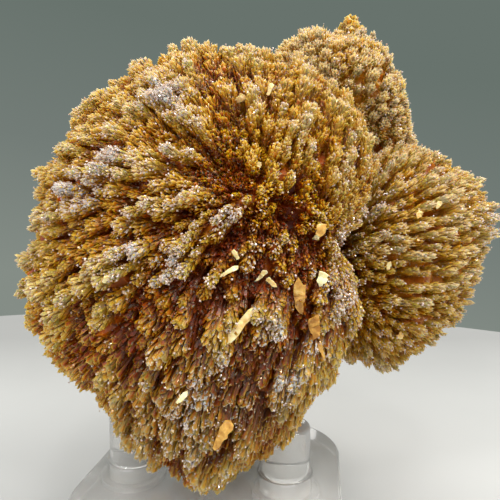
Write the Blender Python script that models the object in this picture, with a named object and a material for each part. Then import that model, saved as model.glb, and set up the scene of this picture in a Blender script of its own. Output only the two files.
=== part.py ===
"""Barite crystal cluster resting on a small clear stand with three pegs.

The cluster is one grown-together solid: a lumpy core of three lobes, covered with sprays of
tapered, flat-faced crystals that point away from a growth line inside each lobe. On the hidden
back the crystals lie down along the surface as radiating laths.
Sizes are in millimetres and become metres where the meshes are made. The origin is the centre
of the stand's underside, X to the right, Y to the back, Z up.
"""
import math
import random

import bmesh
import bpy
from mathutils import Matrix, Vector

MM = 0.001
GAP = 0.3
CUT_OVERSHOOT = 1.0
SAME_POINT = 0.01

# Materials
BARITE_COLOUR = (0.52, 0.29, 0.09)
BARITE_ROUGHNESS = 0.35
ACRYLIC_COLOUR = (0.95, 0.96, 0.96)
ACRYLIC_ROUGHNESS = 0.05

# Stand plate
PLATE_SIDE = 50.0
PLATE_THICKNESS = 10.0
PLATE_CORNER_RADIUS = 15.0
PLATE_CORNER_STEPS = 6
PLATE_EDGE_CHAMFER = 1.0
STAND_TURN = math.radians(-8.5)

# Stand pegs, each with a head let into the underside of the plate
PEG_DIAMETER = 10.0
PEG_TOP_CHAMFER = 0.7
HEAD_DIAMETER = 13.0
HEAD_THICKNESS = 2.0
ROUND_STEPS = 18
PEGS = {
    "left": {"x": -17.5, "y": 4.7, "top": 19.6},
    "right": {"x": 13.95, "y": -1.0, "top": 19.6},
    "back": {"x": 2.2, "y": 15.0, "top": 27.0},
}

# Lobes of the cluster. Outline radii run counter-clockwise from +X at equal angles.
LOBES = {
    "main": {
        "centre": Vector((-4.0, 0.0, 53.0)),
        "radii": (30.0, 38.5, 45.0, 44.2, 42.2, 39.2, 35.2, 32.4,
                  31.8, 33.4, 33.0, 34.2, 42.8, 39.3, 35.0, 33.0),
        "front": 25.0, "back": 23.0, "lean": math.radians(14.0),
        "growth_line": (Vector((7.0, -13.0, 64.0)), Vector((23.0, -10.0, 57.5))),
    },
    "right": {
        "centre": Vector((36.0, 8.0, 51.0)),
        "radii": (19.8, 25.0, 25.0, 25.0, 20.0, 18.0, 18.0, 19.0, 23.0, 23.5, 20.0, 19.0),
        "front": 17.0, "back": 15.0, "lean": 0.0,
        "growth_line": (Vector((24.0, 2.0, 55.0)), Vector((26.0, 2.0, 44.0))),
    },
    "back": {
        "centre": Vector((30.0, 20.0, 88.0)),
        "radii": (12.8, 12.8, 15.6, 15.4, 20.5, 21.0, 24.0, 27.0, 26.0, 19.0),
        "front": 16.0, "back": 12.0, "lean": 0.0,
        "growth_line": (Vector((24.0, 18.0, 80.0)), Vector((33.0, 20.0, 78.0))),
    },
}
FRONT_FULLNESS = 2.0
BACK_FULLNESS = 2.8
CORE_DEPTH = 2.5
CORE_SUBDIVISIONS = 2
NORMAL_STEP = 0.02
LOBE_OVERLAP = 1.0
LATHS_FROM = 0.5

# Cone that stands up from the top of the back lobe
PEAK_TIP = Vector((29.6, 20.0, 105.6))
PEAK_GROWTH = Vector((0.08, 0.0, 1.0))
PEAK_WIDTH = 7.0
PEAK_THICKNESS = 6.0
PEAK_LENGTH = 14.0

# Crystal sprays
SURFACE_POINTS = 5000
FRONT_SPACING = 5.6
BACK_SPACING = 8.8
SPRAY_WIDTH = (4.4, 5.8)
SPRAY_THICKNESS = (2.8, 3.8)
SPRAY_LENGTH = (10.0, 11.5)
TIP_SCATTER = (-1.6, 0.9)
LEAST_DIVE = 0.5
LATH_DIVE = 0.3
LATH_FLATNESS = 0.8
LATH_WIDENING = 4.0
LATH_THICKENING = 1.0
LATH_LENGTHENING = 7.0
ROOT_SHARE = 0.35
SHOULDER_SHARE = 0.28
SEED = 21


def make_material(name, colour, roughness, transmission=0.0):
    """A Principled material with plain values."""
    material = bpy.data.materials.new(name)
    material.use_nodes = True
    shader = material.node_tree.nodes["Principled BSDF"]
    shader.inputs["Base Color"].default_value = (*colour, 1.0)
    shader.inputs["Roughness"].default_value = roughness
    shader.inputs["Transmission Weight"].default_value = transmission
    return material


def place(name, bm, material=None):
    """Turn a bmesh into a named object with its material."""
    mesh = bpy.data.meshes.new(name)
    bm.to_mesh(mesh)
    bm.free()
    if material:
        mesh.materials.append(material)
    obj = bpy.data.objects.new(name, mesh)
    bpy.context.scene.collection.objects.link(obj)
    return obj


def outline_radius(lobe, angle):
    """Smooth closed curve through the lobe's outline radii."""
    radii = lobe["radii"]
    count = len(radii)
    position = angle / math.tau * count % count
    index = int(position)
    share = position - index
    before, here, after, beyond = (radii[(index + k) % count] for k in (-1, 0, 1, 2))
    bend = 2 * before - 5 * here + 4 * after - beyond
    twist = 3 * here - before - 3 * after + beyond
    return 0.5 * (2 * here + (after - before) * share + bend * share**2 + twist * share**3)


def lobe_size(lobe, x, y, z, inset):
    """Outline radius, depth and fullness that hold in one direction of the lobe's own frame."""
    radius = outline_radius(lobe, math.atan2(z, x)) - inset
    if y < 0:
        return radius, lobe["front"] - inset, FRONT_FULLNESS
    return radius, lobe["back"] - inset, BACK_FULLNESS


def lobe_point(lobe, way, inset=0.0):
    """Point of the lobe's surface, moved inwards by inset, in a direction from its centre."""
    radius, depth, fullness = lobe_size(lobe, *way, inset)
    reach = (math.hypot(way.x, way.z)**fullness + abs(way.y)**fullness)**(-1.0 / fullness)
    local = Vector((way.x * radius, way.y * depth, way.z * radius)) * reach
    return lobe["centre"] + Matrix.Rotation(-lobe["lean"], 3, "X") @ local


def inside_lobe(lobe, point, inset):
    """Whether a point lies deeper in the lobe than inset."""
    local = Matrix.Rotation(lobe["lean"], 3, "X") @ (point - lobe["centre"])
    radius, depth, fullness = lobe_size(lobe, *local, inset)
    across = math.hypot(local.x, local.z) / radius
    return across**fullness + abs(local.y / depth)**fullness < 1.0


def lobe_normal(lobe, way):
    """Outward direction of the lobe's surface, from two short steps along it."""
    side = way.orthogonal().normalized() * NORMAL_STEP
    here = lobe_point(lobe, way)
    first = lobe_point(lobe, (way + side).normalized()) - here
    second = lobe_point(lobe, (way + way.cross(side)).normalized()) - here
    return first.cross(second).normalized()


def growth_direction(lobe, tip, normal, backness):
    """Away from the growth line, and flattened onto the surface at the back."""
    start, end = lobe["growth_line"]
    along = end - start
    share = min(1.0, max(0.0, (tip - start).dot(along) / along.length_squared))
    growth = (tip - start - along * share).normalized()
    growth -= normal * growth.dot(normal) * LATH_FLATNESS * backness
    dive = LEAST_DIVE + (LATH_DIVE - LEAST_DIVE) * backness
    growth += normal * max(0.0, dive - growth.dot(normal))
    return growth.normalized()


def surface_directions():
    """Evenly spread directions, by the golden angle."""
    for index in range(SURFACE_POINTS):
        y = 1.0 - 2.0 * (index + 0.5) / SURFACE_POINTS
        across = math.sqrt(1.0 - y * y)
        turn = index * math.pi * (3.0 - math.sqrt(5.0))
        yield Vector((across * math.cos(turn), y, across * math.sin(turn)))


def scattered_sprays(rng):
    """Tip, growth direction, surface normal and backness of every spray."""
    sprays = []
    for name, lobe in LOBES.items():
        others = [LOBES[other] for other in LOBES if other != name]
        directions = list(surface_directions())
        rng.shuffle(directions)
        tips = []
        for way in directions:
            tip = lobe_point(lobe, way)
            backness = min(1.0, max(0.0, way.y / LATHS_FROM))
            spacing = FRONT_SPACING + (BACK_SPACING - FRONT_SPACING) * backness
            if any(inside_lobe(other, tip, LOBE_OVERLAP) for other in others):
                continue
            if any((tip - taken).length < spacing for taken in tips):
                continue
            tips.append(tip)
            normal = lobe_normal(lobe, way)
            sprays.append((tip, growth_direction(lobe, tip, normal, backness), normal, backness))
    return sprays


def unit_crystal():
    """Lozenge-section crystal of unit size: slim root at z = -1, wide shoulder, point at z = 0."""
    bm = bmesh.new()
    body = 1.0 - SHOULDER_SHARE
    bmesh.ops.create_cone(bm, cap_ends=True, segments=4, radius1=ROOT_SHARE / 2, radius2=0.5,
                          depth=body, matrix=Matrix.Translation((0, 0, -1.0 + body / 2)))
    top = max(bm.faces, key=lambda face: face.calc_center_median().z)
    point = bmesh.ops.poke(bm, faces=[top])["verts"][0]
    point.co.z = 0.0
    mesh = bpy.data.meshes.new("unit crystal")
    bm.to_mesh(mesh)
    bm.free()
    return mesh


def add_crystal(bm, crystal, end, growth, across, width, thickness, length):
    """One crystal that ends at a place and grows in a direction, its flat side along across."""
    stance = Matrix((across * width, growth.cross(across) * thickness, growth * length))
    matrix = Matrix.Translation(end * MM) @ (stance.transposed() * MM).to_4x4()
    bm.from_mesh(crystal)
    bm.verts.ensure_lookup_table()
    bmesh.ops.transform(bm, matrix=matrix, verts=bm.verts[-len(crystal.vertices):])


def add_sprays(bm, rng):
    """One tapered crystal for each spray, flat side along the surface, and the peak."""
    crystal = unit_crystal()
    for tip, growth, normal, backness in scattered_sprays(rng):
        width = rng.uniform(*SPRAY_WIDTH) + LATH_WIDENING * backness
        thickness = rng.uniform(*SPRAY_THICKNESS) + LATH_THICKENING * backness
        length = rng.uniform(*SPRAY_LENGTH) + LATH_LENGTHENING * backness
        end = tip + growth * rng.uniform(*TIP_SCATTER)
        add_crystal(bm, crystal, end, growth, growth.cross(normal).normalized(),
                    width, thickness, length)
    growth = PEAK_GROWTH.normalized()
    across = growth.cross(Vector((0.0, 1.0, 0.0))).normalized()
    add_crystal(bm, crystal, PEAK_TIP, growth, across, PEAK_WIDTH, PEAK_THICKNESS, PEAK_LENGTH)


def cylinder(name, radius, low, high, x=0.0, y=0.0):
    """Upright cutting cylinder, wire only."""
    bm = bmesh.new()
    bmesh.ops.create_cone(bm, cap_ends=True, segments=ROUND_STEPS, radius1=radius * MM,
                          radius2=radius * MM, depth=(high - low) * MM,
                          matrix=Matrix.Translation((x * MM, y * MM, (low + high) / 2 * MM)))
    cutter = place(name, bm)
    cutter.hide_render = True
    cutter.display_type = "WIRE"
    return cutter


def cut(obj, cutter, own_overlaps=False):
    """Take the cutter's shape out of an object, joining the object's own overlaps if asked."""
    boolean = obj.modifiers.new(cutter.name, "BOOLEAN")
    boolean.operation = "DIFFERENCE"
    boolean.solver = "EXACT"
    boolean.use_self = own_overlaps
    boolean.object = cutter


def joined_body(obj):
    """The object's shape after its cuts, without chips that hang free of the main body."""
    graph = bpy.context.evaluated_depsgraph_get()
    bm = bmesh.new()
    bm.from_mesh(obj.evaluated_get(graph).to_mesh())
    bodies = []
    unvisited = set(bm.verts)
    while unvisited:
        front = [unvisited.pop()]
        body = set(front)
        while front:
            near = {edge.other_vert(vert) for vert in front for edge in vert.link_edges}
            front = list(near & unvisited)
            unvisited -= near
            body |= near
        bodies.append(body)
    largest = max(bodies, key=len)
    loose = [vert for vert in bm.verts if vert not in largest]
    bmesh.ops.delete(bm, geom=loose, context="VERTS")
    return bm


def build_cluster(material):
    """Cores of the three lobes and their sprays, joined in one solid and seated on the pegs."""
    rng = random.Random(SEED)
    bm = bmesh.new()
    for lobe in LOBES.values():
        core = bmesh.ops.create_icosphere(bm, subdivisions=CORE_SUBDIVISIONS, radius=1.0)
        for vert in core["verts"]:
            vert.co = lobe_point(lobe, vert.co.normalized(), CORE_DEPTH) * MM
    add_sprays(bm, rng)
    overlapping = place("overlapping crystals", bm)
    for side, peg in PEGS.items():
        seat = cylinder("seat_" + side, PEG_DIAMETER / 2 + GAP, 0.0, peg["top"] + GAP,
                        peg["x"], peg["y"])
        cut(overlapping, seat, own_overlaps=True)
    place("barite_cluster", joined_body(overlapping), material)
    bpy.data.objects.remove(overlapping)


def build_plate(material):
    """Rounded square plate with three counterbored holes."""
    bm = bmesh.new()
    inner = PLATE_SIDE / 2 - PLATE_CORNER_RADIUS
    for quarter in range(4):
        for step in range(PLATE_CORNER_STEPS + 1):
            angle = (quarter + step / PLATE_CORNER_STEPS) * math.pi / 2
            middle = Matrix.Rotation(quarter * math.pi / 2, 2) @ Vector((inner, inner))
            x = middle.x + PLATE_CORNER_RADIUS * math.cos(angle)
            y = middle.y + PLATE_CORNER_RADIUS * math.sin(angle)
            bm.verts.new((x * MM, y * MM, 0.0))
    foot = bm.faces.new(bm.verts)
    top = bmesh.ops.extrude_face_region(bm, geom=[foot], use_keep_orig=True)["geom"]
    raised = [item for item in top if isinstance(item, bmesh.types.BMVert)]
    bmesh.ops.translate(bm, verts=raised, vec=(0.0, 0.0, PLATE_THICKNESS * MM))
    bmesh.ops.recalc_face_normals(bm, faces=bm.faces)
    level = PLATE_THICKNESS / 2 * MM
    rims = [edge for edge in bm.edges
            if (edge.verts[0].co.z > level) == (edge.verts[1].co.z > level)]
    bmesh.ops.bevel(bm, geom=rims, offset=PLATE_EDGE_CHAMFER * MM, segments=1, profile=0.5,
                    affect="EDGES")
    bmesh.ops.rotate(bm, verts=bm.verts, cent=(0, 0, 0), matrix=Matrix.Rotation(STAND_TURN, 3, "Z"))
    plate = place("stand_plate", bm, material)
    for side, peg in PEGS.items():
        spot = {"x": peg["x"], "y": peg["y"]}
        cut(plate, cylinder("bore_" + side, PEG_DIAMETER / 2 + GAP, -CUT_OVERSHOOT,
                            PLATE_THICKNESS + CUT_OVERSHOOT, **spot))
        cut(plate, cylinder("counterbore_" + side, HEAD_DIAMETER / 2 + GAP, -CUT_OVERSHOOT,
                            HEAD_THICKNESS + GAP, **spot))


def build_peg(side, peg, material):
    """Turned peg: flat head, round shaft, chamfered top."""
    shaft, head, top = PEG_DIAMETER / 2, HEAD_DIAMETER / 2, peg["top"]
    profile = ((0.0, 0.0), (head, 0.0), (head, HEAD_THICKNESS), (shaft, HEAD_THICKNESS),
               (shaft, top - PEG_TOP_CHAMFER), (shaft - PEG_TOP_CHAMFER, top), (0.0, top))
    bm = bmesh.new()
    line = [bm.verts.new((radius * MM, 0.0, height * MM)) for radius, height in profile]
    edges = [bm.edges.new(pair) for pair in zip(line, line[1:])]
    bmesh.ops.spin(bm, geom=line + edges, cent=(0, 0, 0), axis=(0, 0, 1), angle=math.tau,
                   steps=ROUND_STEPS, use_merge=True, use_duplicate=False)
    bmesh.ops.remove_doubles(bm, verts=bm.verts, dist=SAME_POINT * MM)
    bmesh.ops.recalc_face_normals(bm, faces=bm.faces)
    obj = place("stand_peg_" + side, bm, material)
    obj.location = (peg["x"] * MM, peg["y"] * MM, 0.0)


for old in list(bpy.data.objects):
    bpy.data.objects.remove(old)
barite = make_material("amber barite", BARITE_COLOUR, BARITE_ROUGHNESS)
acrylic = make_material("clear acrylic", ACRYLIC_COLOUR, ACRYLIC_ROUGHNESS, transmission=1.0)
build_cluster(barite)
build_plate(acrylic)
for peg_side, peg_sizes in PEGS.items():
    build_peg(peg_side, peg_sizes, acrylic)
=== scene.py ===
"""Looks of an amber barite crystal cluster that rests on a small clear stand with three pegs.

Sizes are in millimetres and become metres where the meshes are made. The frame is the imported
part's: origin at the centre of the stand's underside, X right, Y away from the viewer, Z up.
"""
import math

import bmesh
import bpy
import numpy as np
from mathutils import Matrix, Vector, noise
from mathutils.bvhtree import BVHTree


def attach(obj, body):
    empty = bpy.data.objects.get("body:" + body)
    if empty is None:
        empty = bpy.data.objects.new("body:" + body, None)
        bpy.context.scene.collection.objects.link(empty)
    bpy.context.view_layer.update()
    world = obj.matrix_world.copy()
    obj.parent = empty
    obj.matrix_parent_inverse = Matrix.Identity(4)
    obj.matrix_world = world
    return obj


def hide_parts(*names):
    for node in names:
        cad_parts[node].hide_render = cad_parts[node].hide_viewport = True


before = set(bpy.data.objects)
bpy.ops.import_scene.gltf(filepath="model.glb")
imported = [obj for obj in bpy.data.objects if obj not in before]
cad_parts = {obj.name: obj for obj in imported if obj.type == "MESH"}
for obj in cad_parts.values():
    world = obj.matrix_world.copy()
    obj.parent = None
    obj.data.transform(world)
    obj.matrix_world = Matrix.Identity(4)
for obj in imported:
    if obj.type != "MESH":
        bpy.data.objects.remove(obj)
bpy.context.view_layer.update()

# Stand plate: a rounded square of clear cast acrylic, sawn to shape and flame polished, so that
# its edges are soft. Three bores go through it, each with a wider seat underneath for a peg's head.

MM = 0.001
PLATE_SIDE = 50.0
PLATE_THICKNESS = 10.0
PLATE_CORNER_RADIUS = 15.0
PLATE_CORNER_STEPS = 20
PLATE_EDGE_ROUNDING = 0.9
STAND_TURN = math.radians(-8.5)
PEG_DIAMETER = 10.0
HEAD_DIAMETER = 13.0
HEAD_THICKNESS = 2.0
FIT_GAP = 0.3
ROUND_STEPS = 96
PEGS = {
    "left": {"x": -17.5, "y": 4.7, "top": 19.6},
    "right": {"x": 13.95, "y": -1.0, "top": 19.6},
    "back": {"x": 2.2, "y": 15.0, "top": 27.0},
}
DRILL_OVERRUN = 1.0
SHARP_ANGLE = math.radians(30.0)
SAME_POINT = 0.001
ACRYLIC_CLEAR = (1.0, 1.0, 0.985, 1.0)
ACRYLIC_WARM = (1.0, 0.995, 0.965, 1.0)
HAZE_SCALE = 90.0
LEAST_ROUGHNESS = 0.02
HAZE_ROUGHNESS = 0.2
WAVE_STRENGTH = 0.06
WAVE_HEIGHT = 0.2
PLATE_WAVE_SCALE = 40.0


class Socket:
    """One output of a shader node. Arithmetic on it adds Math nodes to the same material."""

    def __init__(self, tree, output=None):
        self.tree = tree
        self.output = output

    def node(self, kind, settings=None, inputs=None, output=0):
        """Add any node: its settings first, then the values or links of its sockets."""
        made = self.tree.nodes.new(kind)
        for name, value in (settings or {}).items():
            if name == "stops":
                ramp = made.color_ramp.elements
                while len(ramp) < len(value):
                    ramp.new(1.0)
                for element, (position, colour) in zip(ramp, value):
                    element.position = position
                    element.color = (*colour, 1.0)
            else:
                setattr(made, name, value)
        for name, value in (inputs or {}).items():
            if isinstance(value, Socket):
                self.tree.links.new(value.output, made.inputs[name])
            else:
                made.inputs[name].default_value = value
        return Socket(self.tree, made.outputs[output])

    def maths(self, operation, first, second, clamp=False):
        return self.node("ShaderNodeMath", {"operation": operation, "use_clamp": clamp},
                         {0: first, 1: second})

    def __add__(self, other):
        return self.maths("ADD", self, other)

    __radd__ = __add__

    def __sub__(self, other):
        return self.maths("SUBTRACT", self, other)

    def __rsub__(self, other):
        return self.maths("SUBTRACT", other, self)

    def __mul__(self, other):
        return self.maths("MULTIPLY", self, other)

    __rmul__ = __mul__

    def clamped(self):
        """The value kept between 0 and 1."""
        return self.maths("ADD", self, 0.0, clamp=True)

    def mix(self, first, second):
        """Colour that goes from the first to the second as this value goes from 0 to 1."""
        return self.node("ShaderNodeMix", {"data_type": "RGBA"},
                         {0: self, 6: first, 7: second}, output=2)


def begin_material(name):
    """A new material, as the start of its node expressions and its Principled shader's sockets."""
    material = bpy.data.materials.new(name)
    material.use_nodes = True
    shader = material.node_tree.nodes["Principled BSDF"]
    return material, Socket(material.node_tree), shader.inputs


def feed(socket, value):
    """Link a node expression to one of the shader's sockets."""
    value.tree.links.new(value.output, socket)


def linear(red, green, blue):
    """Linear colour of a screen colour given in 0 to 255."""
    return tuple(((part / 255 + 0.055) / 1.055)**2.4 if part > 10 else part / 3295
                 for part in (red, green, blue))


def acrylic_material(name, wave_scale):
    """Clear cast acrylic: faint handling haze in the gloss and a very slight waviness."""
    material, start, shader = begin_material(name)
    place = start.node("ShaderNodeTexCoord", output=3)
    haze = start.node("ShaderNodeTexNoise", {}, {"Vector": place, "Scale": HAZE_SCALE, "Detail": 4.0})
    wave = start.node("ShaderNodeTexNoise", {}, {"Vector": place, "Scale": wave_scale, "Detail": 2.0})
    feed(shader["Base Color"], haze.mix(ACRYLIC_CLEAR, ACRYLIC_WARM))
    feed(shader["Roughness"], LEAST_ROUGHNESS + haze * haze * HAZE_ROUGHNESS)
    feed(shader["Normal"], start.node("ShaderNodeBump", {}, {
        "Height": wave, "Strength": WAVE_STRENGTH, "Distance": WAVE_HEIGHT * MM}))
    shader["Transmission Weight"].default_value = 0.76
    shader["IOR"].default_value = 1.49
    return material


def place_mesh(name, bm, material, smooth=True):
    """Turn a bmesh into an object at the origin, its place in its mesh."""
    mesh = bpy.data.meshes.new(name)
    bm.to_mesh(mesh)
    bm.free()
    if smooth:
        mesh.shade_smooth()
        mesh.set_sharp_from_angle(angle=SHARP_ANGLE)
    if material:
        mesh.materials.append(material)
    obj = bpy.data.objects.new(name, mesh)
    bpy.context.scene.collection.objects.link(obj)
    return obj


def bore(obj, x, y, diameter, low, high):
    """Cut a round upright hole through an object, for good."""
    bm = bmesh.new()
    middle = Matrix.Translation((x * MM, y * MM, (low + high) / 2 * MM))
    bmesh.ops.create_cone(bm, cap_ends=True, segments=ROUND_STEPS, radius1=diameter / 2 * MM,
                          radius2=diameter / 2 * MM, depth=(high - low) * MM, matrix=middle)
    cutter = place_mesh("drill", bm, None, smooth=False)
    cut = obj.modifiers.new("bore", "BOOLEAN")
    cut.operation = "DIFFERENCE"
    cut.solver = "EXACT"
    cut.object = cutter
    graph = bpy.context.evaluated_depsgraph_get()
    drilled = bpy.data.meshes.new_from_object(obj.evaluated_get(graph))
    obj.modifiers.remove(cut)
    obj.data = drilled
    bpy.data.objects.remove(cutter)


def build_plate():
    """Outline with round corners, raised to its thickness, edges rounded, then bored."""
    bm = bmesh.new()
    inner = PLATE_SIDE / 2 - PLATE_CORNER_RADIUS
    for quarter in range(4):
        middle = Matrix.Rotation(quarter * math.pi / 2, 2) @ Vector((inner, inner))
        for step in range(PLATE_CORNER_STEPS + 1):
            angle = (quarter + step / PLATE_CORNER_STEPS) * math.pi / 2
            arm = Vector((math.cos(angle), math.sin(angle))) * PLATE_CORNER_RADIUS
            bm.verts.new(((middle + arm).x * MM, (middle + arm).y * MM, 0.0))
    foot = bm.faces.new(bm.verts)
    top = bmesh.ops.extrude_face_region(bm, geom=[foot], use_keep_orig=True)["geom"]
    raised = [item for item in top if isinstance(item, bmesh.types.BMVert)]
    bmesh.ops.translate(bm, verts=raised, vec=(0.0, 0.0, PLATE_THICKNESS * MM))
    bmesh.ops.recalc_face_normals(bm, faces=bm.faces)
    level = PLATE_THICKNESS / 2 * MM
    rims = [edge for edge in bm.edges
            if (edge.verts[0].co.z > level) == (edge.verts[1].co.z > level)]
    bmesh.ops.bevel(bm, geom=rims, offset=PLATE_EDGE_ROUNDING * MM, segments=5, profile=0.5,
                    affect="EDGES", material=-1)
    bmesh.ops.rotate(bm, verts=bm.verts, cent=(0, 0, 0), matrix=Matrix.Rotation(STAND_TURN, 3, "Z"))
    plate = place_mesh("plate", bm, acrylic_material("plate acrylic", PLATE_WAVE_SCALE))
    for peg in PEGS.values():
        for diameter, top in ((PEG_DIAMETER, PLATE_THICKNESS + DRILL_OVERRUN),
                              (HEAD_DIAMETER, HEAD_THICKNESS + FIT_GAP)):
            bore(plate, peg["x"], peg["y"], diameter + 2 * FIT_GAP, -DRILL_OVERRUN, top)
    plate.data.shade_smooth()
    plate.data.set_sharp_from_angle(angle=SHARP_ANGLE)
    return plate


stand_plate = build_plate()
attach(stand_plate, "root")
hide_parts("stand_plate")

# Stand pegs: turned from 10 mm clear acrylic rod, with a flat head let into the plate from
# below, a softened top rim, and a small bead of clear cement where each leaves the plate.

PEG_TOP_ROUNDING = 0.7
BEAD_HEIGHT = 0.9
BEAD_WIDTH = 0.55
BEAD_STEPS = 6
RIM_STEPS = 5
ROD_WAVE_SCALE = 70.0


def build_peg(side, peg, material):
    """Half profile of a peg, spun round its axis."""
    shaft, head, top = PEG_DIAMETER / 2, HEAD_DIAMETER / 2, peg["top"]
    bead = [(shaft + BEAD_WIDTH * (1 - math.sin(turn)),
             PLATE_THICKNESS + BEAD_HEIGHT * (1 - math.cos(turn)))
            for turn in np.linspace(0.0, math.pi / 2, BEAD_STEPS)]
    rim = [(shaft - PEG_TOP_ROUNDING * (1 - math.cos(turn)),
            top - PEG_TOP_ROUNDING * (1 - math.sin(turn)))
           for turn in np.linspace(0.0, math.pi / 2, RIM_STEPS)]
    profile = [(0.0, 0.0), (head, 0.0), (head, HEAD_THICKNESS), (shaft, HEAD_THICKNESS),
               (shaft, PLATE_THICKNESS), *bead, *rim, (0.0, top)]
    bm = bmesh.new()
    line = [bm.verts.new((peg["x"] * MM + radius * MM, peg["y"] * MM, height * MM))
            for radius, height in profile]
    edges = [bm.edges.new(pair) for pair in zip(line, line[1:])]
    bmesh.ops.spin(bm, geom=line + edges, cent=(peg["x"] * MM, peg["y"] * MM, 0), axis=(0, 0, 1),
                   angle=math.tau, steps=ROUND_STEPS, use_merge=True, use_duplicate=False)
    bmesh.ops.remove_doubles(bm, verts=bm.verts, dist=SAME_POINT * MM)
    bmesh.ops.recalc_face_normals(bm, faces=bm.faces)
    return place_mesh("peg_" + side, bm, material)


rod_acrylic = acrylic_material("rod acrylic", ROD_WAVE_SCALE)
for peg_side, peg_sizes in PEGS.items():
    peg_piece = build_peg(peg_side, peg_sizes, rod_acrylic)
    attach(peg_piece, "root")
    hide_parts("stand_peg_" + peg_side)

# Heart of the cluster: three lobes of dense red-brown barite, grown together. Only gaps between
# the crystals show it, and its dark colour there is partly the barite's own and partly painted
# shade, lighter where it rises and darker in the side lobes and at the back. Each lobe swells out
# of a ball, with lumps from a smooth noise, and lies deeper and smoother at the back.

# A lobe's paleness lightens its crystals and heart as painted light from above and the right on the side
# lobes; the darker brown of the heart in the side lobes is painted shade for the gaps
LOBES = {
    "main": {
        "centre": Vector((-4.0, 0.0, 53.0)),
        "radii": (30.0, 38.5, 45.0, 44.2, 42.2, 39.2, 35.2, 32.4,
                  31.8, 33.4, 33.0, 34.2, 43.2, 40.0, 35.0, 33.0),
        "front": 25.0, "back": 23.0, "lean": math.radians(14.0),
        "relief": 1.0, "paleness": 0.0, "smoke": 0.0,
        "growth_line": (Vector((7.0, -13.0, 64.0)), Vector((23.0, -10.0, 57.5))),
    },
    "right": {
        "centre": Vector((36.0, 8.0, 51.0)),
        "radii": (19.8, 25.0, 25.0, 25.0, 20.0, 18.0, 18.0, 19.0, 23.0, 23.5, 20.0, 19.0),
        "front": 17.0, "back": 15.0, "lean": 0.0,
        "relief": 0.45, "paleness": 0.19, "smoke": 0.4,
        "growth_line": (Vector((24.0, 2.0, 55.0)), Vector((26.0, 2.0, 44.0))),
    },
    "back": {
        "centre": Vector((30.0, 20.0, 88.0)),
        "radii": (11.8, 10.8, 13.2, 14.8, 20.5, 21.0, 24.0, 27.0, 26.0, 18.0),
        "front": 16.0, "back": 12.0, "lean": 0.0,
        "relief": 0.4, "paleness": 0.36, "smoke": 0.2,
        "growth_line": (Vector((24.0, 18.0, 80.0)), Vector((33.0, 20.0, 78.0))),
    },
}
FRONT_FULLNESS = 2.0
BACK_FULLNESS = 2.8
HEART_DEPTH = 2.5
HEART_BACK_DEPTH = 1.6
HEART_BACK_SHADE = 0.5
BACK_CALM = 0.6
CALM_RATE = 3.0
HEART_SUBDIVISIONS = 5
HEART_LUMP = 1.2
HEART_LUMP_SIZE = 1.0
# The heart's low paleness, lighter where it rises, is partly painted shade for the deep gaps
HEART_PALENESS = 0.15
HEART_BACK_PALENESS = 0.25
HEART_FADE = 0.06
MARKS = ("paleness", "tone", "frost", "smoke")
CLOUD_SCALE = 160.0
GRAIN_SCALE = 2600.0
FACET_SCALE = 3000.0
CLOUD_SHIFT = 0.4
GRAIN_SHIFT = 0.14
FACET_SHIFT = 0.08
TONE_SHIFT = 0.12
BARITE_COLOURS = (
    (0.0, linear(134, 44, 0)), (0.2, linear(200, 102, 0)), (0.45, linear(232, 154, 24)),
    (0.7, linear(236, 174, 66)), (1.0, linear(242, 196, 122)),
)
# Painted shade: a dark olive-brown mixed into the crystals at the foot of the cluster and into the heart
# in the side lobes and at the back
PAINTED_SHADE_COLOUR = (*linear(84, 44, 4), 1.0)
FROST_COLOUR = (*linear(234, 214, 200), 1.0)
# Painted glint: the near-white colour of the few facets that reflect like small mirrors, bright under
# any light
PAINTED_GLINT_COLOUR = (*linear(255, 218, 170), 1.0)
CREST_FROSTING = 1.1
GAP_FROSTING = 0.3
CREST_DUST = 0.3
DUST_START = 1.45
DUST_EDGE = 4.0
DUST_COVER = 0.85
MIRROR_START = 0.95
MIRROR_EDGE = 20.0
MIRROR_FROST = 0.08
MIRROR_METAL = 0.5
MIRROR_POLISH = 0.2
MIRROR_TURN = 1.0
FACET_TURN = 0.12
CRYSTAL_ROUGHNESS = 0.3
GRAIN_ROUGHNESS = 0.2
LEAST_DIVE = 0.38
LATH_DIVE = 0.3
LATH_FLATNESS = 0.8
STREAK_WIDTH = 3.2
STREAK_STEPS = (-3.6, -1.8, 0.0, 1.8, 3.6)
STREAK_SHARPNESS = 6.0
STREAK_HEIGHT = 1.5
STREAK_FALL = 1.3
SWELL_WIDTH = 9.0
SWELL_HEIGHT = 1.4
STREAK_REACH = (16.0, 34.0)
STREAK_GAIN = 0.4
TUFT_SIZE = 2.4
TUFT_HEIGHT = 1.2


def outline_radius(lobe, angle):
    """Smooth closed curve through the lobe's outline radii."""
    radii = lobe["radii"]
    count = len(radii)
    position = angle / math.tau * count % count
    index = int(position)
    share = position - index
    before, here, after, beyond = (radii[(index + k) % count] for k in (-1, 0, 1, 2))
    bend = 2 * before - 5 * here + 4 * after - beyond
    twist = 3 * here - before - 3 * after + beyond
    return 0.5 * (2 * here + (after - before) * share + bend * share**2 + twist * share**3)


def lobe_size(lobe, x, y, z, inset):
    """Outline radius, depth and fullness that hold in one direction of the lobe's own frame."""
    radius = outline_radius(lobe, math.atan2(z, x)) - inset
    if y < 0:
        return radius, lobe["front"] - inset, FRONT_FULLNESS
    return radius, lobe["back"] - inset, BACK_FULLNESS


def lobe_point(lobe, way, inset=0.0):
    """Point of the lobe's surface, moved inwards by inset, in a direction from its centre."""
    radius, depth, fullness = lobe_size(lobe, *way, inset)
    reach = (math.hypot(way.x, way.z)**fullness + abs(way.y)**fullness)**(-1.0 / fullness)
    local = Vector((way.x * radius, way.y * depth, way.z * radius)) * reach
    return lobe["centre"] + Matrix.Rotation(-lobe["lean"], 3, "X") @ local


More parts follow.
